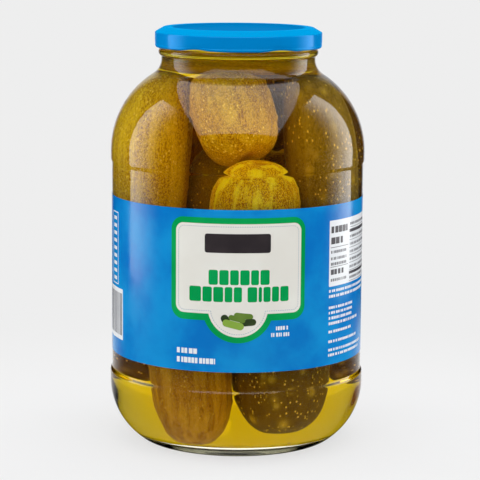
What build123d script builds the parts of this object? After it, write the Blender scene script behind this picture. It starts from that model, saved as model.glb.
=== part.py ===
from build123d import *
from math import acos, cos, degrees, radians, sin
import os

# Half-gallon glass jar of whole pickles in brine, with a paper label wrapped round its waist and a
# pressed steel twist-off lid. Millimetres, +Z up. The origin is the middle of the ring that the jar
# stands on. The label's lap is at the back, +Y, and its printed front faces -Y.

# Glass, outside, from the foot up
body_radius = 64.6        # widest ring, just above the heel
foot_radius = 9.9         # small arc that turns up from the bearing ring
heel_radius = 35.1        # large arc of the heel, above the foot
heel_turn = 55.0          # degrees that the large arc turns through
lower_band = 4.5          # straight height of the widest ring
lower_step = 3.0          # height of the bend in to the label panel
panel_recess = 0.95       # how far the panel lies inside the widest ring
panel_height = 103.4
upper_step = 3.0          # height of the bend out to the shoulder ring
shoulder_recess = 0.35    # how far the shoulder ring lies inside the widest ring
upper_band = 3.6          # straight height of the shoulder ring
shoulder_radius = 45.6    # convex arc of the shoulder
neck_fillet = 9.1         # hollow arc between the shoulder and the neck
finish_radius = 38.8      # neck and finish, without threads
bead_gap = 1.3            # straight neck below the bead
bead_height = 4.4
bead_stand = 1.5
finish_height = 15.6      # from the end of the neck fillet to the lip

# Glass, inside and underneath
panel_wall = 3.75
base_wall = 6.5           # thickness in the middle of the base
inner_heel_turn = 45.0    # degrees that the inner heel arc turns through
inner_foot_radius = 6.0   # small inner arc between the heel and the floor
push_up = 3.0             # rise of the base's underside in the middle
push_up_edge = 1.2        # rise of the underside just inside the bearing ring
land_width = 1.6          # flat of the bearing ring
land_bevel = 1.8          # width of the slope from the flat up to the underside
lip_outer_round = 1.6
lip_inner_round = 1.0

# Threads on the glass, and lugs in the lid that lie under them
thread_count = 6
thread_arc = 42.0         # degrees that one thread covers
thread_tilt = 4.0         # degrees that it climbs at
thread_stand = 1.35
thread_tip = 0.8          # height of its outer face
thread_root = 2.2         # height where it leaves the wall
thread_sink = 0.5         # depth that it is rooted below the wall's face
lug_arc = 15.0            # degrees
lug_height = 1.4
lug_reach = 1.2           # how far a lug stands in from the hem
lug_gap = 0.3             # between a lug and the thread above it

# Lid
sheet = 0.25
skirt_gap = 3.05          # between the finish and the skirt's inside
lid_height = 10.0
lid_bevel = 2.5           # height of the sloped edge between rim and skirt
rim_inset = 1.0           # outer edge of the rim, inside the finish's radius
rim_step = 1.3            # width of the slope down from the rim to the panel
rim_drop = 1.0            # depth of the panel below the rim
panel_gap = 1.9           # between the panel's edge and the glass bore
lid_bend = 0.9            # outside radius of the lid's pressed corners
panel_bend = 0.3          # the same, for the hollow corner round the panel
hem_radius = 0.9          # rolled edge at the foot of the skirt
hem_stand = 0.25          # how far the roll stands out from the skirt

# Label
paper = 0.1
glue = 0.02
label_lower_margin = 8.6  # bare panel below the label
label_upper_margin = 15.1
label_lap = 8.0           # width of the glued overlap

# Brine
head_space = 7.85         # from the lip down to the brine
brine_gap = 0.05          # between the brine and the glass

# Places that follow from the sizes above
panel_radius = body_radius - panel_recess
inner_radius = panel_radius - panel_wall
heel_wall = body_radius - inner_radius
shoulder_ring = body_radius - shoulder_recess
shoulder_wall = shoulder_ring - inner_radius
bore_radius = finish_radius - shoulder_wall

heel_x = body_radius - heel_radius
heel_z = foot_radius + (heel_radius - foot_radius) * sin(radians(heel_turn))
foot_x = heel_x + (heel_radius - foot_radius) * cos(radians(heel_turn))
inner_foot_x = heel_x + (heel_radius - heel_wall - inner_foot_radius) * cos(radians(inner_heel_turn))
inner_foot_z = heel_z - (heel_radius - heel_wall - inner_foot_radius) * sin(radians(inner_heel_turn))
band_top = heel_z + lower_band
panel_bottom = band_top + lower_step
panel_top = panel_bottom + panel_height
ring_bottom = panel_top + upper_step
shoulder_x = shoulder_ring - shoulder_radius
shoulder_z = ring_bottom + upper_band
neck_x = finish_radius + neck_fillet
neck_turn = degrees(acos((neck_x - shoulder_x) / (shoulder_radius + neck_fillet)))
neck_z = shoulder_z + (shoulder_radius + neck_fillet) * sin(radians(neck_turn))
bead_bottom = neck_z + bead_gap
lip_z = neck_z + finish_height
brine_level = lip_z - head_space

rim_z = lip_z + sheet
lid_foot = rim_z - lid_height
skirt_radius = finish_radius + skirt_gap + sheet
hem_x = skirt_radius + hem_stand - hem_radius
hem_z = lid_foot + hem_radius
lug_foot = lid_foot + hem_radius / 2
lug_top = lid_foot + lug_height
thread_z = lug_top + lug_gap + thread_root / 2


def turned(edges, arc=360):
    """Turn a closed outline, given as (radius, height), about Z."""
    return revolve(Plane.XZ * make_face(edges), Axis.Z, arc)


def s_bend(start, end, way):
    """Two equal arcs from start to end that set off and arrive in the direction way."""
    middle = ((start[0] + end[0]) / 2, (start[1] + end[1]) / 2)
    back = (-way[0], -way[1])
    return [TangentArc(start, middle, tangent=way), TangentArc(end, middle, tangent=back)]


def outer_edges():
    """The glass outside, from the middle of the base up to the lip's flat."""
    land_x = foot_x - land_width
    slope_x = land_x - land_bevel
    bead_top = bead_bottom + bead_height
    lip_x = finish_radius - lip_outer_round
    return [
        TangentArc((0, push_up), (slope_x, push_up_edge), tangent=(1, 0)),
        Line((slope_x, push_up_edge), (land_x, 0)),
        Line((land_x, 0), (foot_x, 0)),
        CenterArc((foot_x, foot_radius), foot_radius, -90, 90 - heel_turn),
        CenterArc((heel_x, heel_z), heel_radius, -heel_turn, heel_turn),
        Line((body_radius, heel_z), (body_radius, band_top)),
        *s_bend((body_radius, band_top), (panel_radius, panel_bottom), (0, 1)),
        Line((panel_radius, panel_bottom), (panel_radius, panel_top)),
        *s_bend((panel_radius, panel_top), (shoulder_ring, ring_bottom), (0, 1)),
        Line((shoulder_ring, ring_bottom), (shoulder_ring, shoulder_z)),
        CenterArc((shoulder_x, shoulder_z), shoulder_radius, 0, neck_turn),
        CenterArc((neck_x, neck_z), neck_fillet, 180, neck_turn),
        Line((finish_radius, neck_z), (finish_radius, bead_bottom)),
        ThreePointArc(
            (finish_radius, bead_bottom),
            (finish_radius + bead_stand, (bead_bottom + bead_top) / 2),
            (finish_radius, bead_top),
        ),
        Line((finish_radius, bead_top), (finish_radius, lip_z - lip_outer_round)),
        CenterArc((lip_x, lip_z - lip_outer_round), lip_outer_round, 0, 90),
    ]


def cavity_edges(gap, top):
    """The glass inside, from the middle of the base up to height top, drawn in by gap."""
    inset = heel_wall + gap
    small = inner_foot_radius - gap
    floor_z = inner_foot_z - small
    shoulder_inset = shoulder_wall + gap
    wall_x = inner_radius - gap
    bore_x = bore_radius - gap
    return [
        *s_bend((0, push_up + base_wall + gap), (inner_foot_x, floor_z), (1, 0)),
        CenterArc((inner_foot_x, inner_foot_z), small, -90, 90 - inner_heel_turn),
        CenterArc((heel_x, heel_z), heel_radius - inset, -inner_heel_turn, inner_heel_turn),
        Line((wall_x, heel_z), (wall_x, shoulder_z)),
        CenterArc((shoulder_x, shoulder_z), shoulder_radius - shoulder_inset, 0, neck_turn),
        CenterArc((neck_x, neck_z), neck_fillet + shoulder_inset, 180, neck_turn),
        Line((bore_x, neck_z), (bore_x, top)),
    ]


def thread():
    """One raised thread of the finish, centred on +X."""
    root_x = finish_radius - thread_sink
    tip_x = finish_radius + thread_stand
    outline = Polyline(
        (root_x, -thread_root / 2),
        (tip_x, -thread_tip / 2),
        (tip_x, thread_tip / 2),
        (root_x, thread_root / 2),
        close=True,
    )
    return Rot(thread_tilt, 0, 0) * Rot(0, 0, -thread_arc / 2) * turned(outline.edges(), thread_arc)


def make_glass_jar():
    lip_x = finish_radius - lip_outer_round
    lip_foot = lip_z - lip_inner_round
    edges = outer_edges() + cavity_edges(0, lip_foot)
    edges += [
        CenterArc((bore_radius + lip_inner_round, lip_foot), lip_inner_round, 90, 90),
        Line((bore_radius + lip_inner_round, lip_z), (lip_x, lip_z)),
        Line((0, push_up), (0, push_up + base_wall)),
    ]
    jar = turned(edges)
    for index in range(thread_count):
        jar += Pos(0, 0, thread_z) * Rot(0, 0, index * 360 / thread_count) * thread()
    return jar


def make_brine():
    edges = cavity_edges(brine_gap, brine_level)
    edges += [
        Line((bore_radius - brine_gap, brine_level), (0, brine_level)),
        Line((0, brine_level), (0, push_up + base_wall + brine_gap)),
    ]
    return turned(edges)


def make_label():
    """A paper band round the panel, with its end glued over its start at the back."""
    low = panel_bottom + label_lower_margin
    high = panel_top - label_upper_margin
    inside = panel_radius + glue
    band = Pos(inside + paper / 2, (low + high) / 2) * Rectangle(paper, high - low)
    lap_arc = degrees(label_lap / inside)
    lap = Rot(0, 0, 90 - lap_arc / 2) * turned((Pos(paper, 0) * band).edges(), lap_arc)
    return turned(band.edges()) + lap


def lid_lug():
    """One inward dent of the hem, centred on +X, that holds under a thread."""
    inner_x = hem_x - hem_radius - lug_reach
    outline = Polyline(
        (inner_x, lug_foot),
        (hem_x, lug_foot),
        (hem_x, lug_top),
        (inner_x, lug_top),
        close=True,
    )
    return Rot(0, 0, -lug_arc / 2) * turned(outline.edges(), lug_arc)


def make_lid():
    panel_x = bore_radius - panel_gap
    rim_x = finish_radius - rim_inset
    path = FilletPolyline(
        (0, rim_z - rim_drop),
        (panel_x - rim_step, rim_z - rim_drop),
        (panel_x, rim_z),
        (rim_x, rim_z),
        (skirt_radius, rim_z - lid_bevel),
        (skirt_radius, hem_z),
        radius=[panel_bend, lid_bend, lid_bend, lid_bend],
    )
    section = offset(path, sheet, side=Side.RIGHT, closed=True)
    lid = turned(section.edges()) + Pos(0, 0, hem_z) * Torus(hem_x, hem_radius)
    for index in range(thread_count):
        lid += Rot(0, 0, index * 360 / thread_count) * lid_lug()
    return lid


os.makedirs("parts", exist_ok=True)
for name, make in {
    "glass_jar": make_glass_jar,
    "brine": make_brine,
    "label": make_label,
    "lid": make_lid,
}.items():
    export_step(make(), f"parts/{name}.step")
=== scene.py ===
"""Half-gallon glass jar of whole dill pickles in brine, with a blue paper label and a blue steel lid.

Metres, +Z up, the printed front of the label towards -Y. Sizes that are written in millimetres here
become metres when a mesh is made. Glass, brine, label and lid are turned again from the same sections
as the solid parts, finer and with the unevenness of the real ones, and the pickles, spices and print
are added to them.
"""

import random
from math import acos, atan2, ceil, cos, degrees, exp, hypot, pi, radians, sin

import bmesh
import bpy
from mathutils import Matrix, Vector, noise


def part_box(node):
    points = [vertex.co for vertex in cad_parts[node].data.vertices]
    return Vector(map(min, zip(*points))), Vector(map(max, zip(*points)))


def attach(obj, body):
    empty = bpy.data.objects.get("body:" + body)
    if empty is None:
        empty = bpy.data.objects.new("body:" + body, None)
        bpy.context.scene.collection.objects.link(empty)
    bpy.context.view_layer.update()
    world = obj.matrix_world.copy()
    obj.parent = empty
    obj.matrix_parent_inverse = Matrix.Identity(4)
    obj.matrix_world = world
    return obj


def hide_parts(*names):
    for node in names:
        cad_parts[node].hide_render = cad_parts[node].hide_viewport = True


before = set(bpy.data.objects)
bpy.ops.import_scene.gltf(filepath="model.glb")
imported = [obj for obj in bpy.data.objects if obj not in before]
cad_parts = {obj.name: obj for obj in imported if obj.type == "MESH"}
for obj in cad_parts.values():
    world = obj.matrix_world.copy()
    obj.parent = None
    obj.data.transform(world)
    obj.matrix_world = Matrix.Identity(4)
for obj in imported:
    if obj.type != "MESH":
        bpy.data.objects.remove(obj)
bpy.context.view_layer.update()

MM = 0.001

# Sizes read from the solid parts, in millimetres
jar_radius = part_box("glass_jar")[1].x / MM
lip_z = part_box("glass_jar")[1].z / MM
brine_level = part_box("brine")[1].z / MM
label_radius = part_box("label")[1].x / MM
label_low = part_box("label")[0].z / MM
label_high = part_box("label")[1].z / MM
lid_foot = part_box("lid")[0].z / MM
lid_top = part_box("lid")[1].z / MM
lid_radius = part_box("lid")[1].x / MM

# Glass, from the foot up
foot_radius = 9.9
heel_radius = 35.1
heel_turn = 55.0
lower_band = 4.5
lower_step = 3.0
panel_recess = 0.95
panel_height = 103.4
upper_step = 3.0
shoulder_recess = 0.35
upper_band = 3.6
shoulder_radius = 45.6
neck_fillet = 9.1
finish_radius = 38.8
bead_gap = 1.3
bead_height = 4.4
bead_stand = 1.5
panel_wall = 3.75
base_wall = 6.5
inner_heel_turn = 45.0
inner_foot_radius = 6.0
push_up = 3.0
push_up_edge = 1.2
land_width = 1.6
land_bevel = 1.8
lip_outer_round = 1.6
lip_inner_round = 1.0
thread_count = 6
thread_arc = 42.0
thread_tilt = 4.0
thread_stand = 1.35
thread_height = 2.2
thread_slope = 0.7        # width of the slope between a thread's face and the finish
thread_run_out = 3.0      # degrees over which each end of a thread fades away
thread_above_lid_foot = 2.8

# Lid
sheet = 0.25
lid_bevel = 2.5
rim_inset = 1.0
rim_step = 1.3
rim_drop = 1.0
panel_gap = 1.9
lid_bend = 0.9
panel_bend = 0.3
hem_radius = 0.9
hem_stand = 0.25
lug_arc = 15.0
lug_depth = 0.75          # how far in and up the hem is pressed at a lug
lug_height = 2.2          # height above the lid's foot that the press reaches

# Brine
brine_in_wall = 1.2       # how far the brine reaches into the glass, so that no air shows between
brine_climb = 0.9         # how far it climbs the wall
brine_curve = 1.6         # distance from the wall over which that dies away

# Label and print. Print is laid out in millimetres round from the label's front, and in height.
paper = 0.1
glue = 0.01
label_lap = 8.0
lap_ramp = 2.0            # length over which the label's end rises on to its start
print_strip = 1.5         # width of the flat strips that paper and print are wrapped in
sunk = -0.03              # foot of the print that lies on the paper, a little inside it
on_plaque = 0.03          # foot of the print that lies on the plaque
on_panel = 0.01           # foot of the print that lies on the white panels
bulge_x = 0.7             # middle of the round bulge under the plaque
bulge_z = 78.9

# Fineness: columns round the jar, and the longest step along a section
glass_columns = 240
glass_step = 3.2
thread_step = 0.5
brine_columns = 160
brine_step = 4.0
lid_columns = 240
lid_step = 2.5

# Places that follow from the sizes above
panel_radius = jar_radius - panel_recess
inner_radius = panel_radius - panel_wall
heel_wall = jar_radius - inner_radius
shoulder_ring = jar_radius - shoulder_recess
shoulder_wall = shoulder_ring - inner_radius
bore_radius = finish_radius - shoulder_wall
heel_x = jar_radius - heel_radius
heel_z = foot_radius + (heel_radius - foot_radius) * sin(radians(heel_turn))
foot_x = heel_x + (heel_radius - foot_radius) * cos(radians(heel_turn))
inner_foot_x = heel_x + (heel_radius - heel_wall - inner_foot_radius) * cos(radians(inner_heel_turn))
inner_foot_z = heel_z - (heel_radius - heel_wall - inner_foot_radius) * sin(radians(inner_heel_turn))
floor_z = inner_foot_z - inner_foot_radius
band_top = heel_z + lower_band
panel_bottom = band_top + lower_step
panel_top = panel_bottom + panel_height
ring_bottom = panel_top + upper_step
shoulder_x = shoulder_ring - shoulder_radius
shoulder_z = ring_bottom + upper_band
neck_x = finish_radius + neck_fillet
neck_turn = degrees(acos((neck_x - shoulder_x) / (shoulder_radius + neck_fillet)))
neck_z = shoulder_z + (shoulder_radius + neck_fillet) * sin(radians(neck_turn))
bead_bottom = neck_z + bead_gap
thread_z = lid_foot + thread_above_lid_foot


# ---------------------------------------------------------------- materials


class Value:
    """A value in a material. Sums on it add Math nodes."""

    def __init__(self, nodes, socket):
        self.nodes = nodes
        self.socket = socket

    def sum(self, operation, first, second):
        return self.nodes.add("ShaderNodeMath", {"operation": operation}, {0: first, 1: second})

    def __add__(self, other):
        return self.sum("ADD", self, other)

    __radd__ = __add__

    def __sub__(self, other):
        return self.sum("SUBTRACT", self, other)

    def __rsub__(self, other):
        return self.sum("SUBTRACT", other, self)

    def __mul__(self, other):
        return self.sum("MULTIPLY", self, other)

    __rmul__ = __mul__

    def most(self, other):
        return self.sum("MAXIMUM", self, other)

    def rise(self, low, high):
        """0 up to low, 1 from high on, and a smooth rise between; falls where high is the lower."""
        settings = {"interpolation_type": "SMOOTHSTEP"}
        return self.nodes.add("ShaderNodeMapRange", settings, {0: self, 1: low, 2: high})


class Nodes:
    """The nodes of one material, lamp or world."""

    def __init__(self, tree):
        self.tree = tree
        tree.nodes.clear()

    def add(self, kind, settings=None, sockets=None, out=0):
        """Makes a node: its settings first, then the values or links of its sockets."""
        node = self.tree.nodes.new(kind)
        for key, value in (settings or {}).items():
            setattr(node, key, value)
        for key, value in (sockets or {}).items():
            if isinstance(value, Value):
                self.tree.links.new(value.socket, node.inputs[key])
            else:
                node.inputs[key].default_value = value
        if node.outputs:
            return Value(self, node.outputs[out])
        return node

    def mix(self, share, first, second):
        """A colour between two colours."""
        sockets = {0: share, 6: first, 7: second}
        return self.add("ShaderNodeMix", {"data_type": "RGBA"}, sockets, out=2)

    def stretch(self, place, scale):
        """A place with each of its three numbers scaled."""
        return self.add("ShaderNodeVectorMath", {"operation": "MULTIPLY"}, {0: place, 1: scale})

    def length(self, vector):
        return self.add("ShaderNodeVectorMath", {"operation": "LENGTH"}, {0: vector}, out=1)

    def part(self, vector, axis):
        """One number of a vector: axis 0 for x, 1 for y, 2 for z."""
        return self.add("ShaderNodeSeparateXYZ", {}, {0: vector}, out=axis)

    def noise(self, place, scale, detail, rough=0.5):
        sockets = {"Vector": place, "Scale": scale, "Detail": detail, "Roughness": rough}
        return self.add("ShaderNodeTexNoise", {}, sockets)

    def cells(self, place, scale):
        """Distance to the nearest of many scattered points."""
        return self.add("ShaderNodeTexVoronoi", {}, {"Vector": place, "Scale": scale})

    def place(self):
        """Where the surface is in the jar's own frame, in metres."""
        return self.add("ShaderNodeTexCoord", out=3)

    def bump(self, height, distance, strength):
        sockets = {"Height": height, "Distance": distance, "Strength": strength}
        return self.add("ShaderNodeBump", {}, sockets)


def ink(red, green, blue):
    """A colour from its 0 to 255 screen values."""
    def linear(part):
        share = part / 255
        return share / 12.92 if share <= 0.04045 else ((share + 0.055) / 1.055) ** 2.4

    return (linear(red), linear(green), linear(blue), 1.0)


def material(name):
    made = bpy.data.materials.new(name)
    made.use_nodes = True
    return made, Nodes(made.node_tree)


def surface(nodes, sockets, volume=None):
    """The one shader of a finish, and its output."""
    shader = nodes.add("ShaderNodeBsdfPrincipled", {}, sockets)
    ends = {"Surface": shader}
    if volume:
        ends["Volume"] = volume
    nodes.add("ShaderNodeOutputMaterial", {}, ends)


def glass_finish(name, glare):
    """Clear flint glass. glare is the share of its mirror reflection that is kept."""
    made, nodes = material(name)
    haze = nodes.noise(nodes.place(), 60, 2)
    surface(nodes, {
        "Base Color": (0.985, 0.995, 0.98, 1),
        "Roughness": 0.0,
        "IOR": 1.5,
        "Transmission Weight": 1.0,
        "Specular Tint": (glare, glare, glare, 1),
        "Normal": nodes.bump(haze, 0.00002, 0.5),
    })
    return made


def brine_finish():
    """Yellow brine: what it takes from the light grows with its depth."""
    made, nodes = material("brine_yellow")
    takes = {"Color": (0.994, 0.918, 0.008, 1), "Density": 58.0}
    depth = nodes.add("ShaderNodeVolumeAbsorption", {}, takes)
    surface(nodes, {
        "Base Color": (1, 1, 1, 1),
        "Roughness": 0.0,
        "IOR": 1.34,
        "Transmission Weight": 1.0,
        "Specular Tint": (0, 0, 0, 1),
    }, depth)
    return made


def lid_finish():
    """Blue enamel over bright steel, with painted shade on its top."""
    made, nodes = material("lid_blue_enamel")
    place = nodes.place()
    peel = nodes.noise(place, 260, 2)
    cloud = nodes.noise(place, 22, 3)
    # side is 1 where the lid faces sideways and 0 where it faces up; it sets the coat and metal, and
    # it also picks the colour below
    side = nodes.part(nodes.add("ShaderNodeNewGeometry", out=1), 2).rise(0.75, 0.3)
    out = nodes.length(nodes.stretch(place, (1, 1, 0)))
    # Painted shade: the faces that look up get their own blue, a little darker than the skirt's, and
    # the recessed middle panel a much darker blue, though all of it is one enamel
    panel = out.rise(bore_radius * MM, (bore_radius - panel_gap) * MM)
    top = nodes.mix(panel, ink(0, 136, 194), ink(0, 105, 163))
    skirt = nodes.mix(cloud, ink(0, 129, 202), ink(2, 141, 216))
    surface(nodes, {
        "Base Color": nodes.mix(side, top, skirt),
        "Metallic": 0.16 * side,
        "Roughness": 0.16 + 0.1 * cloud,
        "IOR": 1.0,
        "Coat Weight": 0.28 * side + 0.01,
        "Coat Roughness": 0.12,
        "Normal": nodes.bump(peel, 0.00008, 0.35),
    })
    return made


def paper_waves(nodes):
    """The faint waves of glued paper, the same in the label and all that is printed on it."""
    place = nodes.place()
    long_waves = nodes.noise(nodes.stretch(place, (1, 1, 0.45)), 55, 2)
    grain = nodes.noise(place, 1400, 2)
    return nodes.bump(long_waves + 0.012 * grain, 0.00045, 0.5)


def printed_finish(name, colour, second=None):
    """Ink on the varnished paper, a little cloudy where a second tone is given."""
    made, nodes = material(name)
    clouds = nodes.noise(nodes.place(), 34, 4, 0.55).rise(0.36, 0.66)
    surface(nodes, {
        "Base Color": nodes.mix(clouds, colour, second or colour),
        "Roughness": 0.14 + 0.06 * clouds,
        "IOR": 1.45,
        "Normal": paper_waves(nodes),
    })
    return made


def paper_back_finish():
    """The unprinted side of the paper, seen through glass and brine."""
    made, nodes = material("label_paper_back")
    fibres = nodes.noise(nodes.place(), 900, 3)
    surface(nodes, {
        "Base Color": nodes.mix(fibres, ink(188, 192, 196), ink(214, 216, 216)),
        "Roughness": 0.8,
        "IOR": 1.3,
    })
    return made


def pickle_finish(name, ground, streak, mottle, wart, streaks, mottles, warts):
    """Cured cucumber skin. streaks, mottles and warts are how much of each marking shows."""
    made, nodes = material(name)
    skin = nodes.add("ShaderNodeAttribute", {"attribute_name": "skin"}, out=1)
    bumps = nodes.add("ShaderNodeAttribute", {"attribute_name": "wart"}, out=2)
    tips = nodes.add("ShaderNodeAttribute", {"attribute_name": "tip"}, out=2)
    lengthwise = nodes.stretch(skin, (1, 1, 0.1))
    bands = nodes.noise(lengthwise, 1.9, 2).rise(0.42, 0.6)
    fine_bands = nodes.noise(lengthwise, 4.5, 3).rise(0.4, 0.68)
    speckle = nodes.noise(nodes.stretch(skin, (1, 1, 0.7)), 14.0, 4, 0.6).rise(0.44, 0.6)
    cloud = nodes.noise(skin, 0.9, 3)
    spots = nodes.cells(nodes.stretch(skin, (1, 1, 0.8)), 5.0).rise(0.3, 0.12)
    chosen = nodes.noise(skin, 1.1, 3).rise(0.42, 0.55)
    pale = (bands * 0.7 + fine_bands * 0.45) * streaks
    dark = (0.25 + 0.75 * speckle) * (1 - bands * min(0.9, streaks)) * (0.45 + 0.8 * cloud) * mottles
    dots = (spots * chosen).most(bumps * 0.3) * warts
    colour = nodes.mix(pale, ground, streak)
    colour = nodes.mix(dark, colour, mottle)
    colour = nodes.mix(dots, colour, wart)
    colour = nodes.mix(tips * 0.8, colour, mottle)
    height = speckle * 0.25 + dots * 0.6 + fine_bands * 0.2
    surface(nodes, {
        "Base Color": colour,
        "Roughness": 0.42 + 0.2 * speckle,
        "IOR": 1.2,
        "Normal": nodes.bump(height, 0.0005, 0.6),
    })
    return made


def seed_finish():
    made, nodes = material("spice_seed")
    grain = nodes.noise(nodes.place(), 400, 2)
    colour = nodes.mix(grain, ink(150, 110, 20), ink(214, 172, 60))
    surface(nodes, {"Base Color": colour, "Roughness": 0.5, "IOR": 1.2})
    return made


# ---------------------------------------------------------------- sections


def arc(x, z, radius, start, turn, steps):
    """Points of an arc, as (radius from the jar's middle, height); angles in degrees."""
    angles = [radians(start + turn * step / steps) for step in range(steps + 1)]
    return [(x + radius * cos(angle), z + radius * sin(angle)) for angle in angles]


def tangent_arc(start, end, way, steps):
    """Points of the arc that leaves start in the direction way and ends at end."""
    run = (end[0] - start[0], end[1] - start[1])
    along = run[0] * way[0] + run[1] * way[1]
    across = run[1] * way[0] - run[0] * way[1]
    turn = 2 * atan2(across, along)
    radius = hypot(*run) / (2 * sin(turn / 2))
    centre = (start[0] - way[1] * radius, start[1] + way[0] * radius)
    points = []
    for step in range(steps + 1):
        angle = turn * step / steps
        out = (way[1] * radius, -way[0] * radius)
        x = centre[0] + out[0] * cos(angle) - out[1] * sin(angle)
        z = centre[1] + out[0] * sin(angle) + out[1] * cos(angle)
        points.append((x, z))
    return points


def s_bend(start, end, way, steps=8):
    """Two equal arcs from start to end that set off and arrive in the direction way."""
    middle = ((start[0] + end[0]) / 2, (start[1] + end[1]) / 2)
    back = (-way[0], -way[1])
    return tangent_arc(start, middle, way, steps) + tangent_arc(end, middle, back, steps)[::-1]


def spaced(points, longest):
    """The same line with repeated points left out and long runs divided."""
    made = [points[0]]
    for point in points[1:]:
        last = made[-1]
        length = hypot(point[0] - last[0], point[1] - last[1])
        if length < 1e-6:
            continue
        count = ceil(length / longest)
        for step in range(1, count + 1):
            share = step / count
            x = last[0] + (point[0] - last[0]) * share
            z = last[1] + (point[1] - last[1]) * share
            made.append((x, z))
    return made


def glass_outside():
    """The glass outside, from the middle of the base up to the lip's flat."""
    land_x = foot_x - land_width
    slope_x = land_x - land_bevel
    bead_top = bead_bottom + bead_height
    bead_radius = (bead_height ** 2 / 4 + bead_stand ** 2) / (2 * bead_stand)
    bead_x = finish_radius + bead_stand - bead_radius
    half_bead = degrees(atan2(bead_height / 2, finish_radius - bead_x))
    points = tangent_arc((0, push_up), (slope_x, push_up_edge), (1, 0), 14)
    points += [(land_x, 0), (foot_x, 0)]
    points += arc(foot_x, foot_radius, foot_radius, -90, 90 - heel_turn, 8)
    points += arc(heel_x, heel_z, heel_radius, -heel_turn, heel_turn, 18)
    points += s_bend((jar_radius, band_top), (panel_radius, panel_bottom), (0, 1))
    points += s_bend((panel_radius, panel_top), (shoulder_ring, ring_bottom), (0, 1))
    points += arc(shoulder_x, shoulder_z, shoulder_radius, 0, neck_turn, 28)
    points += arc(neck_x, neck_z, neck_fillet, 180 + neck_turn, -neck_turn, 10)
    points += arc(bead_x, (bead_bottom + bead_top) / 2, bead_radius, -half_bead, 2 * half_bead, 10)
    lip_x = finish_radius - lip_outer_round
    wall = [(finish_radius, bead_top), (finish_radius, lip_z - lip_outer_round)]
    points += spaced(wall, thread_step)
    points += arc(lip_x, lip_z - lip_outer_round, lip_outer_round, 0, 90, 6)
    return points


def glass_inside(gap, top):
    """The glass inside, from the middle of the base up to height top, drawn in by gap."""
    inset = heel_wall + gap
    shoulder_inset = shoulder_wall + gap
    points = s_bend((0, push_up + base_wall + gap), (inner_foot_x, floor_z + gap), (1, 0), 10)
    points += arc(inner_foot_x, inner_foot_z, inner_foot_radius - gap, -90, 90 - inner_heel_turn, 8)
    points += arc(heel_x, heel_z, heel_radius - inset, -inner_heel_turn, inner_heel_turn, 16)
    points += arc(shoulder_x, shoulder_z, shoulder_radius - shoulder_inset, 0, neck_turn, 26)
    neck = neck_fillet + shoulder_inset
    points += arc(neck_x, neck_z, neck, 180 + neck_turn, -neck_turn, 10)
    points.append((bore_radius - gap, top))
    return points


# ---------------------------------------------------------------- mesh making


def object_from(name, mesh, finishes, sharp=35.0):
    """A piece of the jar from a mesh in metres, smooth but for its real edges."""
    for finish in finishes:
        mesh.materials.append(finish)
    mesh.polygons.foreach_set("use_smooth", [True] * len(mesh.polygons))
    mesh.set_sharp_from_angle(angle=radians(sharp))
    made = bpy.data.objects.new(name, mesh)
    bpy.context.scene.collection.objects.link(made)
    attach(made, "root")
    return made


def settle(mesh):
    """Turns all faces of a closed mesh outwards."""
    shape = bmesh.new()
    shape.from_mesh(mesh)
    bmesh.ops.recalc_face_normals(shape, faces=shape.faces)
    shape.to_mesh(mesh)
    shape.free()


def between(low, high, columns):
    """The faces between two rings of points. A ring of one point is an end."""
    for column in range(columns):
        beside = (column + 1) % columns
        if len(low) == 1:
            yield (low[0], high[beside], high[column])
        elif len(high) == 1:
            yield (low[column], low[beside], high[0])
        else:
            yield (low[column], low[beside], high[beside], high[column])


def turned(name, section, columns, finishes, shift=None, choose=None):
    """Turns a section round Z. An end of the section on the axis becomes one point.

    shift(row, angle, x, z) gives how far each point moves out and up, and choose(row) which
    finish a row of faces has.
    """
    points, rings, faces, chosen = [], [], [], []
    for row, (x, z) in enumerate(section):
        count = 1 if x < 1e-6 else columns
        rings.append(range(len(points), len(points) + count))
        for column in range(count):
            angle = 2 * pi * column / columns
            out, up = shift(row, angle, x, z) if shift else (0, 0)
            points.append(((x + out) * cos(angle) * MM, (x + out) * sin(angle) * MM, (z + up) * MM))
    for row, (low, high) in enumerate(zip(rings, rings[1:])):
        faces += between(low, high, columns)
        chosen += [choose(row) if choose else 0] * columns
    mesh = bpy.data.meshes.new(name)
    mesh.from_pydata(points, [], faces)
    mesh.polygons.foreach_set("material_index", chosen)
    settle(mesh)
    return object_from(name, mesh, finishes)


def wrapped(name, outlines, inner, outer, finish, lift=None):
    """Closed slabs round the label's face from flat outlines of (way round from the front, height).

    They reach from inner to outer, measured out from the face, and lift(way round) raises them.
    """
    shape = bmesh.new()
    for outline in outlines:
        shape.faces.new([shape.verts.new((s, 0, z)) for s, z in outline])
    low = min(v.co.x for v in shape.verts)
    high = max(v.co.x for v in shape.verts)
    for strip in range(ceil(low / print_strip), ceil(high / print_strip)):
        whole = shape.verts[:] + shape.edges[:] + shape.faces[:]
        middle = (strip * print_strip, 0, 0)
        bmesh.ops.bisect_plane(shape, geom=whole, plane_co=middle, plane_no=(1, 0, 0), dist=1e-5)
    raised = bmesh.ops.extrude_face_region(shape, geom=shape.faces[:], use_keep_orig=True)
    for vert in raised["geom"]:
        if isinstance(vert, bmesh.types.BMVert):
            vert.co.y = 1
    for vert in shape.verts:
        s, side, z = vert.co
        out = label_radius + (outer if side > 0.5 else inner) + (lift(s) if lift else 0)
        angle = s / label_radius
        vert.co = (out * sin(angle) * MM, -out * cos(angle) * MM, z * MM)
    bmesh.ops.recalc_face_normals(shape, faces=shape.faces)
    mesh = bpy.data.meshes.new(name)
    shape.to_mesh(mesh)
    shape.free()
    return object_from(name, mesh, [finish])


# ---------------------------------------------------------------- glass, brine and lid


def clamped(value):
    """The value kept between 0 and 1."""
    return min(1, max(0, value))


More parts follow.
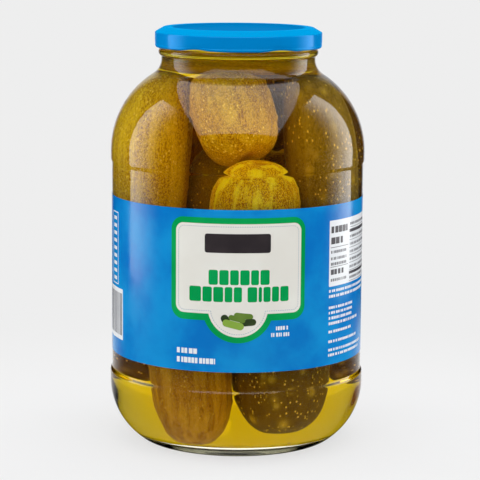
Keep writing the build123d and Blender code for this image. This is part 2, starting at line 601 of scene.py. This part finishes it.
def thread_height_at(angle, z):
    """How far a thread stands out of the finish at one place."""
    pitch = 360 / thread_count
    turn = (degrees(angle) + pitch / 2) % pitch - pitch / 2
    side = thread_arc / 2 - abs(turn)
    if side <= 0:
        return 0
    middle = thread_z + finish_radius * sin(radians(turn)) * sin(radians(thread_tilt))
    share = clamped((thread_height / 2 - abs(z - middle)) / thread_slope)
    return thread_stand * share * min(1, side / thread_run_out)


def glass_shift(angle, x, z, outside):
    """How far out the threads and the unevenness of blown glass move a point.

    The unevenness is slight outside and stronger inside, and it dies away in the middle of the
    floor and at the neck.
    """
    round_x, round_y = cos(angle), sin(angle)
    if z > bead_bottom:
        return thread_height_at(angle, z) if outside else 0
    if outside:
        return 0.03 * noise.noise(Vector((round_x * 2.6, round_y * 2.6, z / 26)))
    wide = noise.noise(Vector((round_x * 2.4 + 9, round_y * 2.4, z / 30)))
    small = noise.noise(Vector((round_x * 6 + 3, round_y * 6, z / 13)))
    amount = clamped((x - 6) / 20) * min(1, (bead_bottom - z) / 4)
    return amount * (0.22 * wide + 0.07 * small)


def make_glass():
    outside = spaced(glass_outside(), glass_step)
    bore_top = lip_z - lip_inner_round
    inside = spaced(glass_inside(0, bore_top), glass_step)
    inside += arc(bore_radius + lip_inner_round, bore_top, lip_inner_round, 180, -90, 5)[1:]
    wet = glass_finish("glass_wet_inside", 0.06)
    clear = glass_finish("glass_clear", 1.0)
    last = len(outside) - 1
    first_wet = last + sum(1 for x, z in inside if z >= brine_level)

    def choose(row):
        return 1 if row >= first_wet else 0

    def shift(row, angle, x, z):
        return glass_shift(angle, x, z, row <= last), 0

    section = outside + inside[::-1]
    made = turned("jar_glass", section, glass_columns, [clear, wet], shift, choose)
    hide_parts("glass_jar")


def make_brine():
    section = spaced(glass_inside(-brine_in_wall, brine_level), brine_step)
    edge = bore_radius + brine_in_wall
    for in_from_edge in (0.8, 1.6, 2.6, 4, 6, 9):
        fall = brine_climb * (1 - exp(-in_from_edge / brine_curve))
        section.append((edge - in_from_edge, brine_level - fall))
    level = section[-1][1]
    section += [(edge * 0.5, level), (edge * 0.25, level), (0, level)]
    made = turned("brine_liquid", section, brine_columns, [brine_finish()])
    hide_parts("brine")


def lid_line(inset):
    """The lid's sheet from the middle of its panel down to the hem, drawn in by inset."""
    rim_z = lid_top - inset
    panel_x = bore_radius - panel_gap + inset / 2
    skirt = lid_radius - hem_stand - inset
    corners = [(0, rim_z - rim_drop), (panel_x - rim_step, rim_z - rim_drop), (panel_x, rim_z)]
    corners += [(finish_radius - rim_inset - inset / 2, rim_z), (skirt, rim_z - lid_bevel)]
    corners += [(skirt, lid_foot + 2 * hem_radius)]
    bend = lid_bend - inset
    return rounded_line(corners, [panel_bend, bend, bend, bend])


def rounded_line(corners, radii):
    """A line through corners with each inner corner rounded."""
    points = [corners[0]]
    for before, corner, after, radius in zip(corners, corners[1:], corners[2:], radii):
        here = Vector(corner)
        back = (Vector(before) - here).normalized()
        on = (Vector(after) - here).normalized()
        half = back.angle(on) / 2
        reach = radius / (sin(half) / cos(half))
        start, end = here + back * reach, here + on * reach
        points += tangent_arc(tuple(start), tuple(end), tuple(-back), 6)
    return points + [corners[-1]]


def lug_share(angle):
    """1 in the middle of each lug, where the hem is pressed in to hold a thread; 0 between them."""
    pitch = 360 / thread_count
    turn = abs((degrees(angle) + pitch / 2) % pitch - pitch / 2)
    return 0.5 + 0.5 * cos(pi * min(1, turn / lug_arc))


def lid_shift(row, angle, x, z):
    """The skirt's foot is pressed in and up at each lug; the top of the lid stays."""
    if x < finish_radius + 1:
        return 0, 0
    press = lug_depth * max(0, 1 - (z - lid_foot) / lug_height) * lug_share(angle)
    return -press, press


def make_lid():
    hem_x = lid_radius - hem_radius
    outer_meet = degrees(acos((hem_radius - hem_stand) / hem_radius))
    inner_meet = degrees(acos((hem_radius - hem_stand - sheet) / hem_radius))
    roll = inner_meet - outer_meet - 360
    section = spaced(lid_line(0), lid_step)
    section += arc(hem_x, lid_foot + hem_radius, hem_radius, outer_meet, roll, 20)
    section += spaced(lid_line(sheet), lid_step)[::-1]
    made = turned("lid_steel", section, lid_columns, [lid_finish()], lid_shift)
    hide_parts("lid")


# ---------------------------------------------------------------- pickles and spices

pickle_rings = 84
pickle_columns = 108
wart_count = 46
wart_reach = 6.0          # farthest along the pickle that a wart raises the skin
wart_fade = 6.0           # square of the distance, in wart widths, past which it has no height
sharp_nowhere = 180       # degrees: every edge of a pickle or a seed is smooth
seed_count = 9
seed_sector = (-0.7, 0.3) # where the seeds lie, in radians from +X
seed_ring = (26, 44)      # and how far from the middle
floor_fall = 2.2          # from the middle of the glass floor out to the foot of its heel

def pickle(mesh, foot, head, radius, bow, seed, blunt=3.0, taper=0.0):
    """Adds one whole pickle from foot to head, in millimetres, bowed sideways by bow.

    A higher blunt gives fuller ends, and taper makes the head thicker than the foot.
    """
    draw = random.Random(seed)
    start, end = Vector(foot), Vector(head)
    length = (end - start).length
    along = (end - start) / length
    unlike = Vector((0.31, 0.95, 0.02))
    side = along.cross(unlike).normalized()
    front = along.cross(side)
    turn = draw.uniform(0, 2 * pi)
    bow_way = cos(turn) * side + sin(turn) * front
    lobes = draw.uniform(0, 2 * pi)
    far = Vector((draw.uniform(20, 90), draw.uniform(20, 90), draw.uniform(20, 90)))
    warts = []
    for _ in range(wart_count):
        place = draw.uniform(0.05, 0.95) * length
        way = draw.uniform(0, 2 * pi)
        tall = draw.uniform(0.3, 0.75)
        wide = draw.uniform(1.3, 2.2)
        warts.append((place, way, tall, wide))
    skin_layer = mesh.verts.layers.float_vector["skin"]
    wart_layer = mesh.verts.layers.float["wart"]
    tip_layer = mesh.verts.layers.float["tip"]
    rings = []
    for ring in range(pickle_rings + 1):
        share = 0.5 - 0.5 * cos(pi * ring / pickle_rings)
        off = abs(2 * share - 1)
        girth = (1 - off ** blunt) ** (1 / 2.6) if off < 1 else 0
        girth *= 1 + taper * (2 * share - 1)
        near = [wart for wart in warts if abs(wart[0] - share * length) < wart_reach]
        row = []
        for column in range(1 if ring in (0, pickle_rings) else pickle_columns):
            angle = 2 * pi * column / pickle_columns
            x, y = cos(angle), sin(angle)
            here = Vector((x * girth * 2, y * girth * 2, share * length / 10))
            # Three soft lobes and nine slight ridges, then wide dents and small ones
            out = radius * girth * (0.965 + 0.02 * cos(3 * (angle - lobes)) + 0.006 * cos(9 * angle))
            out += girth * 0.55 * noise.noise(here * 0.9 + far)
            out += girth * 0.16 * noise.noise(here * 3.1 + far)
            bump = 0
            for place, way, tall, wide in near:
                gap = (angle - way + pi) % (2 * pi) - pi
                apart = ((place - share * length) ** 2 + (gap * out) ** 2) / wide ** 2
                if apart < wart_fade:
                    bump = max(bump, tall * exp(-apart))
            out += bump * min(1, girth * 1.3)
            # A dimple where the stalk and the flower were
            dimple = 1.1 * exp(-((out / 3.2) ** 2)) * (1 if share < 0.5 else -1)
            centre = start + along * (share * length + dimple) + bow_way * bow * (1 - off ** 2)
            vert = mesh.verts.new((centre + out * (x * side + y * front)) * MM)
            vert[skin_layer] = Vector((here.x * radius / 20, here.y * radius / 20, here.z)) + far
            vert[wart_layer] = min(1, bump / 0.6)
            vert[tip_layer] = exp(-((out / 3.4) ** 2))
            row.append(vert)
        rings.append(row)
    for low, high in zip(rings, rings[1:]):
        for face in between(low, high, pickle_columns):
            mesh.faces.new(face)


def pickles(name, finish, rows):
    """All the pickles of one kind as one mesh.

    Each row has what pickle needs: foot, head, radius, bow and seed, then blunt and taper if any.
    """
    shape = bmesh.new()
    shape.verts.layers.float_vector.new("skin")
    shape.verts.layers.float.new("wart")
    shape.verts.layers.float.new("tip")
    for row in rows:
        pickle(shape, *row)
    bmesh.ops.recalc_face_normals(shape, faces=shape.faces)
    mesh = bpy.data.meshes.new(name)
    shape.to_mesh(mesh)
    shape.free()
    object_from(name, mesh, [finish], sharp_nowhere)


def make_pickles():
    golden = pickle_finish(
        "skin_golden", ink(242, 206, 42), ink(250, 222, 72), ink(166, 110, 18), ink(252, 224, 92),
        0.5, 1.0, 1.0,
    )
    speckled = pickle_finish(
        "skin_speckled", ink(232, 184, 40), ink(246, 210, 76), ink(150, 92, 16), ink(254, 222, 104),
        0.4, 1.0, 1.4,
    )
    striped = pickle_finish(
        "skin_striped", ink(255, 209, 26), ink(255, 230, 54), ink(182, 108, 8), ink(252, 222, 74),
        1.2, 1.2, 0.6,
    )
    tawny = pickle_finish(
        "skin_tawny", ink(190, 128, 16), ink(226, 172, 38), ink(124, 74, 8), ink(232, 186, 60),
        0.55, 0.9, 0.7,
    )
    olive = pickle_finish(
        "skin_olive", ink(164, 130, 44), ink(186, 154, 56), ink(92, 70, 18), ink(250, 210, 76),
        0.4, 0.8, 1.2,
    )
    dark = pickle_finish(
        "skin_dark_olive", ink(120, 84, 16), ink(138, 102, 28), ink(66, 42, 8), ink(246, 200, 64),
        0.3, 0.8, 1.4,
    )
    pickles("pickles_tawny", tawny, [
        ((-17, -33.5, 8.6), (-27.5, -31, 84), 19.2, 0.6, 11),
        ((-9, 41, 20), (-9, 41, 85), 10.0, 0.3, 15),
        ((-25, 34, 88), (-25, 34, 165), 16.4, 0.4, 21),
    ])
    pickles("pickles_dark", dark, [
        ((19.2, -26, 13.5), (19.8, -26, 84), 22.1, 0.4, 12, 3.4),
        ((-34, 29, 24), (-35.5, 30, 85), 13.5, 0.3, 28),
        ((39, 24, 24), (40, 24, 85), 12.5, 0.3, 29),
        ((43, 21, 86), (36, 20, 170), 12.5, 0.3, 26),
    ])
    pickles("pickles_olive", olive, [
        ((-19, 2, 20), (-12, 4, 85), 14.3, 0.3, 13),
        ((41.3, -11, 82), (31, -6, 181), 16.8, 0.5, 19, 4.5),
        ((-3, 8, 88), (-3, 8, 148), 18.0, 0.3, 20),
        ((14, 14, 158), (10, 46, 159), 15.0, 0.3, 24),
    ])
    pickles("pickles_golden", golden, [
        ((13, 16, 22), (13, 20, 85), 14.0, 0.3, 14),
        ((-41, -6.5, 86), (-32.5, 2.5, 182), 18.0, 0.4, 17, 4.0),
        ((16, 38, 88), (16, 38, 143), 16.4, 0.4, 22, 5.0),
        ((-28.4, 17, 186), (28.4, 17, 186), 11.2, 0.3, 25, 3.6),
    ])
    pickles("pickle_striped", striped, [((5, -30, 84.5), (9.9, -39.6, 147), 20.7, 0.3, 18)])
    pickles("pickle_speckled", speckled, [((4.5, -32, 148), (-9, -8, 183), 17.8, 0.3, 23, 2.6, -0.04)])


def make_seeds():
    """Mustard and dill seeds that have sunk to the bottom, as one mesh."""
    draw = random.Random(5)
    shape = bmesh.new()
    for _ in range(seed_count):
        angle = draw.uniform(*seed_sector)
        out = draw.uniform(*seed_ring)
        height = push_up + base_wall - floor_fall * min(1, out / inner_foot_x) ** 2 + 0.8
        size = draw.uniform(0.5, 0.8)
        place = Matrix.Translation(Vector((out * cos(angle), out * sin(angle), height)))
        spin = Matrix.Rotation(draw.uniform(0, pi), 4, "Z")
        form = Matrix.Diagonal((size * draw.uniform(1.0, 1.9), size, size * 0.7, 1))
        bmesh.ops.create_icosphere(shape, subdivisions=2, radius=1, matrix=place @ spin @ form)
    bmesh.ops.scale(shape, vec=(MM, MM, MM), verts=shape.verts)
    mesh = bpy.data.meshes.new("spice_seeds")
    shape.to_mesh(mesh)
    shape.free()
    object_from("spice_seeds", mesh, [seed_finish()], sharp_nowhere)


# ---------------------------------------------------------------- label and print


def rounded(left, right, low, high, corner, steps=5):
    """Outline of a rectangle with round corners."""
    points = []
    places = [(right - corner, high - corner, 0), (left + corner, high - corner, 90)]
    places += [(left + corner, low + corner, 180), (right - corner, low + corner, 270)]
    for x, z, start in places:
        points += arc(x, z, corner, start, 90, steps)
    return points


def plaque(left, right, low, high, corner, bulge_radius):
    """Outline of a rounded rectangle with a round bulge under its middle."""
    dip = degrees(acos((bulge_z - low) / bulge_radius))
    points = arc(right - corner, high - corner, corner, 0, 90, 8)
    points += arc(left + corner, high - corner, corner, 90, 90, 8)
    points += arc(left + corner, low + corner, corner, 180, 90, 8)
    points += arc(bulge_x, bulge_z, bulge_radius, 270 - dip, 2 * dip, 32)
    return points + arc(right - corner, low + corner, corner, 270, 90, 8)


def capsule(x, z, length, width, turn):
    """Outline of a long round-ended shape, turned by turn degrees."""
    half = (length - width) / 2
    outline = arc(half, 0, width / 2, -90, 180, 8) + arc(-half, 0, width / 2, 90, 180, 8)
    c, s = cos(radians(turn)), sin(radians(turn))
    return [(x + u * c - v * s, z + u * s + v * c) for u, v in outline]


def stitches(outline, length, width, pitch):
    """Small dashes along a closed outline."""
    made = []
    closed = outline + outline[:1]
    walked, due = 0.0, 0.0
    for (x0, z0), (x1, z1) in zip(closed, closed[1:]):
        run = hypot(x1 - x0, z1 - z0)
        if run < 1e-6:
            continue
        turn = degrees(atan2(z1 - z0, x1 - x0))
        while due <= walked + run:
            share = (due - walked) / run
            made.append(capsule(x0 + (x1 - x0) * share, z0 + (z1 - z0) * share, length, width, turn))
            due += pitch
        walked += run
    return made


def text_bars(left, right, low, high, seed, widest):
    """A line of plain blocks of uneven width, where small print would be."""
    draw = random.Random(seed)
    made = []
    at = left
    while at < right - 0.5:
        width = min(draw.uniform(0.5, 1.0) * widest, right - at)
        made.append(rounded(at, at + width, low, high, min(0.15, width / 3), 2))
        at += width + draw.choice((0.35, 0.35, 0.9))
    return made


def name_blocks(left, right, low, high, widths):
    """A row of plain rounded blocks, where the product's name would be; a width below 0 is a space."""
    gap = 0.7
    total = sum(abs(width) for width in widths)
    scale = (right - left - gap * (len(widths) - 1)) / total
    made = []
    at = left
    for width in widths:
        if width > 0:
            made.append(rounded(at, at + width * scale, low, high, 0.9, 4))
        at += abs(width) * scale + gap
    return made


def make_label():
    half = pi * label_radius + label_lap / 2
    outline = [(-half, label_low), (half, label_low), (half, label_high), (-half, label_high)]
    blue = printed_finish("label_blue", ink(1, 112, 192), ink(2, 140, 208))

    def lift(s):
        return (paper + glue) * clamped((s - half + label_lap + lap_ramp) / lap_ramp)

    made = wrapped("label_paper", [outline], -paper, 0, blue, lift)
    made.data.materials.append(paper_back_finish())
    # The side that faces the glass is unprinted
    for face in made.data.polygons:
        centre = face.center
        if face.normal.x * centre.x + face.normal.y * centre.y < 0:
            face.material_index = 1
    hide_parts("label")


def make_plaque_print():
    green = printed_finish("print_green", ink(0, 148, 74), ink(0, 160, 82))
    cream = printed_finish("print_cream", ink(224, 222, 214), ink(228, 227, 220))
    dots = printed_finish("print_pale_blue", ink(160, 176, 190))
    dark = printed_finish("print_charcoal", ink(46, 41, 44), ink(56, 50, 52))
    wrapped("print_plaque_green", [plaque(-33.2, 34.7, 72.1, 122.4, 6.5, 17.7)], sunk, 0.03, green)
    wrapped("print_plaque_cream", [plaque(-30.6, 32.4, 75.5, 119.5, 4.0, 14.8)], -0.02, 0.06, cream)
    line = plaque(-29.2, 31.0, 76.9, 118.1, 3.0, 13.5)
    wrapped("print_plaque_stitches", stitches(line, 0.72, 0.34, 1.15), on_plaque, 0.08, dots)
    wrapped("print_badge", [rounded(-15.7, 16.5, 105.4, 114.7, 1.2)], on_plaque, 0.09, dark)
    upper = [5, 5, 4.6, 5, 4.2, 5]
    lower = [6.4, 5, 5.2, 4, 4.2, -1.4, 5, 1.8, 3.8, 3.8, 4.6]
    blocks = name_blocks(-13.7, 16.0, 89.8, 97.1, upper)
    blocks += name_blocks(-23.4, 25.8, 81.4, 88.8, lower)
    wrapped("print_name_blocks", blocks, on_plaque, 0.09, green)


def make_cucumber_print():
    """Little cucumbers in the plaque's bulge, each overlapping the one behind it."""
    light = printed_finish("print_cucumber_light", ink(132, 166, 66), ink(168, 192, 104))
    shade = printed_finish("print_cucumber_shade", ink(92, 122, 48), ink(120, 148, 66))
    deep = printed_finish("print_cucumber_deep", ink(44, 58, 34), ink(72, 88, 52))
    wrapped("print_cucumber_back", [capsule(3.4, 74.6, 9.4, 2.8, -6)], on_plaque, 0.08, shade)
    sides = [capsule(-5.3, 72.6, 5.6, 3.8, -60), capsule(5.6, 71.4, 8.0, 3.4, 4)]
    wrapped("print_cucumber_sides", sides, on_plaque, 0.1, deep)
    wrapped("print_cucumber_middle", [capsule(0.2, 73.2, 8.4, 2.6, -14)], on_plaque, 0.115, shade)
    wrapped("print_cucumber_front", [capsule(-1.6, 70.3, 10.6, 3.6, -14)], on_plaque, 0.13, light)


def make_white_print(white):
    """Rows of bars where text would be, and the bare panels that grey and black print lies on."""
    bars = text_bars(19.5, 26.5, 67.2, 69.1, 31, 1.1)
    bars += text_bars(17.1, 26.5, 64.0, 65.9, 32, 1.1)
    bars += text_bars(-30.0, -19.4, 55.2, 57.8, 33, 2.0)
    bars += text_bars(-30.0, -10.3, 50.6, 53.3, 34, 2.0)
    # Foot, top and right end of each line of small print below the facts panel
    rows = [(82.9, 84.2, 92), (80.2, 81.6, 90), (74.6, 75.9, 72), (72.0, 73.3, 72), (69.3, 70.7, 72)]
    rows += [(66.6, 68.0, 79), (62.5, 63.8, 71), (57.6, 58.9, 78), (53.4, 54.7, 86), (50.8, 52.1, 82)]
    for row, (low, high, right) in enumerate(rows):
        bars += text_bars(50.5, right, low, high, 40 + row, 1.6)
    # A ruled box at the left, with a column of short bars in it
    for step in range(9):
        at = 84.5 + step * 3.8
        bars.append([(-83.6, at), (-78.2, at), (-78.2, at + 1.7), (-83.6, at + 1.7)])
    edges = [(-86.0, -85.6, 82.4, 119), (-76.4, -76.0, 82.4, 119)]
    edges += [(-85.6, -76.4, 82.4, 82.9), (-85.6, -76.4, 118.5, 119)]
    bars += [rounded(*edge, 0.1, 1) for edge in edges]
    wrapped("print_white_bars", bars, sunk, 0.04, white)
    panels = [rounded(50.3, 94, 85.8, 118.6, 0.5, 3), rounded(-93, -70.1, 55, 80.8, 0.5, 3)]
    wrapped("print_white_panels", panels, sunk, 0.03, white)


def make_facts_print(grey, black):
    """Grey and black bars on the white panels, in two columns, and the upright stripes at the left."""
    first_left, second_left, second_right = 51.6, 67.6, 93.0
    heavy = text_bars(first_left, 65.5, 112.3, 115.6, 51, 3.2)
    heavy += text_bars(first_left, 61.0, 106.8, 110.1, 52, 3.2)
    heavy += text_bars(first_left, 62.0, 91.6, 94.2, 53, 2.8)
    heavy.append(rounded(second_left, second_right, 111.0, 112.6, 0.2, 2))
    heavy.append(rounded(second_left, second_right, 90.0, 91.4, 0.2, 2))
    small = []
    for row, low in enumerate((102.2, 98.9, 96.2, 88.2)):
        small += text_bars(first_left, 65.2, low, low + 1.4, 60 + row, 1.4)
    small += [rounded(51.2, 66.4, low, low + 0.3, 0.1, 1) for low in (105.0, 95.3)]
    for row, low in enumerate((114.6, 108.2, 104.4, 100.6, 96.8, 93.0, 87.6)):
        small += text_bars(second_left + 0.6, second_right - 1, low, low + 1.3, 70 + row, 1.5)
        small.append(rounded(second_left, second_right, low - 1.2, low - 0.95, 0.1, 1))
    lines = random.Random(8)
    at = -91.5
    while at < -71.5:
        width = lines.choice((0.4, 0.8, 1.2))
        small.append(rounded(at, at + width, 57.2, 78.6, 0.1, 1))
        at += width + lines.choice((0.4, 0.8))
    wrapped("print_grey_bars", small, on_panel, 0.06, grey)
    wrapped("print_black_bars", heavy, on_panel, 0.06, black)


def make_side_print():
    """Plain bars and panels in the places of the small print."""
    white = printed_finish("print_white", ink(226, 230, 234), ink(232, 235, 238))
    grey = printed_finish("print_grey", ink(112, 112, 116), ink(140, 140, 144))
    black = printed_finish("print_black", ink(74, 72, 76), ink(92, 90, 94))
    make_white_print(white)
    make_facts_print(grey, black)


# ---------------------------------------------------------------- stage, light and camera

background = 0.855        # strength of what the camera and mirrors see
front_glow = 1.55         # strength that reaches the pickles through the glass from the front
back_glow = 0.78          # the same, from straight behind
ambient = 0.56            # strength of the world's light on matt surfaces
floor_radius = 9

lamp_distance = 0.50
lamp_height = 0.30

camera_place = (0.0002, -1.0679, 0.2731)
camera_dip = 0.1592       # radians below level
camera_roll = -0.0075
camera_lens = 158.87


def behind(nodes, way):
    """The share of a direction that points away from the front: 1 straight behind."""
    flat = nodes.stretch(way, (1, 1, 0))
    unit = nodes.add("ShaderNodeVectorMath", {"operation": "NORMALIZE"}, {0: flat})
    return nodes.part(unit, 1)


def ray_kinds(nodes):
    """1 for rays from the camera, for mirrored rays, and for rays that came through glass."""
    camera, glossy, through = (nodes.add("ShaderNodeLightPath", out=out) for out in (0, 3, 6))
    return camera, glossy * (1 - through), through


def seen_colour(nodes, way, near=0.0):
    """What the plain pale surroundings show to the camera, to mirrors and through glass.

    near is 1 close beside the jar, where mirrors see pale ground to the sides as well.
    """
    back = behind(nodes, way)
    camera, mirror, through = ray_kinds(nodes)
    mirrored = background * back.rise(0.9, 1.0).most(back.rise(0.3, 0.9) * near)
    others = 1 - camera - mirror
    glow = front_glow - (front_glow - back_glow) * back.rise(-0.1, 0.9)
    return camera * background + mirror * mirrored + others * glow


def make_floor():
    made, nodes = material("floor_pale")
    place = nodes.add("ShaderNodeNewGeometry", out=0)
    out = nodes.length(place)
    camera, mirror, through = ray_kinds(nodes)
    seen = seen_colour(nodes, place, out.rise(0.45, 0.2))
    glow = nodes.add("ShaderNodeEmission", {}, {"Strength": seen})
    pale = nodes.mix(nodes.noise(place, 40, 3), (0.8, 0.8, 0.8, 1), (0.83, 0.83, 0.83, 1))
    matt = nodes.add("ShaderNodeBsdfDiffuse", {}, {"Color": pale})
    # Near the jar a fifth of what the camera sees is the lit matt floor, which holds the shadow
    share = (camera * (1 - 0.2 * out.rise(0.34, 0.08))).most(mirror).most(through)
    shown = nodes.add("ShaderNodeMixShader", {}, {0: share, 1: matt, 2: glow})
    underside = nodes.add("ShaderNodeNewGeometry", out=6)
    clear = nodes.add("ShaderNodeBsdfTransparent")
    shown = nodes.add("ShaderNodeMixShader", {}, {0: underside, 1: shown, 2: clear})
    nodes.add("ShaderNodeOutputMaterial", {}, {"Surface": shown})
    shape = bmesh.new()
    bmesh.ops.create_circle(shape, cap_ends=True, segments=96, radius=floor_radius)
    mesh = bpy.data.meshes.new("floor")
    shape.to_mesh(mesh)
    shape.free()
    mesh.materials.append(made)
    floor = bpy.data.objects.new("floor", mesh)
    bpy.context.scene.collection.objects.link(floor)


def make_surroundings():
    world = bpy.data.worlds.new("studio")
    bpy.context.scene.world = world
    world.use_nodes = True
    nodes = Nodes(world.node_tree)
    way = nodes.add("ShaderNodeTexCoord", out=0)
    diffuse = nodes.add("ShaderNodeLightPath", out=2)
    strength = seen_colour(nodes, way) * (1 - diffuse) + ambient * diffuse
    glow = nodes.add("ShaderNodeBackground", {}, {"Strength": strength})
    nodes.add("ShaderNodeOutputWorld", {}, {"Surface": glow})


def softbox(name, place, target, size, strength, fade=None):
    """A large soft lamp. fade is the shares of its width where it is dark and where it is full."""
    lamp = bpy.data.lights.new(name, "AREA")
    lamp.shape = "RECTANGLE"
    lamp.size, lamp.size_y = size
    lamp.energy = 4 * size[0] * size[1]
    lamp.use_nodes = True
    nodes = Nodes(lamp.node_tree)
    level = strength
    if fade:
        across = nodes.add("ShaderNodeNewGeometry", out=5)
        level = strength * nodes.part(across, 0).rise(*fade)
    glow = nodes.add("ShaderNodeEmission", {}, {"Strength": level})
    nodes.add("ShaderNodeOutputLight", {}, {"Surface": glow})
    made = bpy.data.objects.new(name, lamp)
    made.location = place
    made.rotation_euler = (Vector(target) - Vector(place)).to_track_quat("-Z", "Y").to_euler()
    made.visible_camera = False
    bpy.context.scene.collection.objects.link(made)


def side_place(turn):
    """A lamp's place beside the jar: turn is degrees from the front towards +X."""
    x = lamp_distance * sin(radians(turn))
    y = -lamp_distance * cos(radians(turn))
    return (x, y, lamp_height)


def make_lights():
    middle = (0, 0, lamp_height)
    softbox("softbox_left", side_place(-84), middle, (0.46, 0.72), 2.05, (0.8, 0.15))
    softbox("softbox_right", side_place(94), middle, (0.50, 0.74), 2.5, (0.25, 0.9))
    above = Vector((0, -0.06, 0.91))
    down_and_back = Vector((0, 0.331, -0.944))
    softbox("softbox_above", above, above + down_and_back, (1.2, 1.63), 1.35)


def make_camera():
    camera = bpy.data.cameras.new("camera")
    camera.sensor_width = 36
    camera.lens = camera_lens
    camera.clip_start, camera.clip_end = 0.05, 50
    made = bpy.data.objects.new("camera", camera)
    made.location = camera_place
    made.rotation_euler = (pi / 2 - camera_dip, camera_roll, 0)
    bpy.context.scene.collection.objects.link(made)
    bpy.context.scene.camera = made


def make_settings():
    scene = bpy.context.scene
    scene.view_settings.view_transform = "Standard"
    scene.cycles.max_bounces = 18
    scene.cycles.transmission_bounces = 16
    scene.cycles.diffuse_bounces = 4
    scene.cycles.glossy_bounces = 5


make_settings()
make_camera()
make_floor()
make_surroundings()
make_lights()
make_glass()
make_brine()
make_lid()
make_label()
make_plaque_print()
make_cucumber_print()
make_side_print()
make_pickles()
make_seeds()
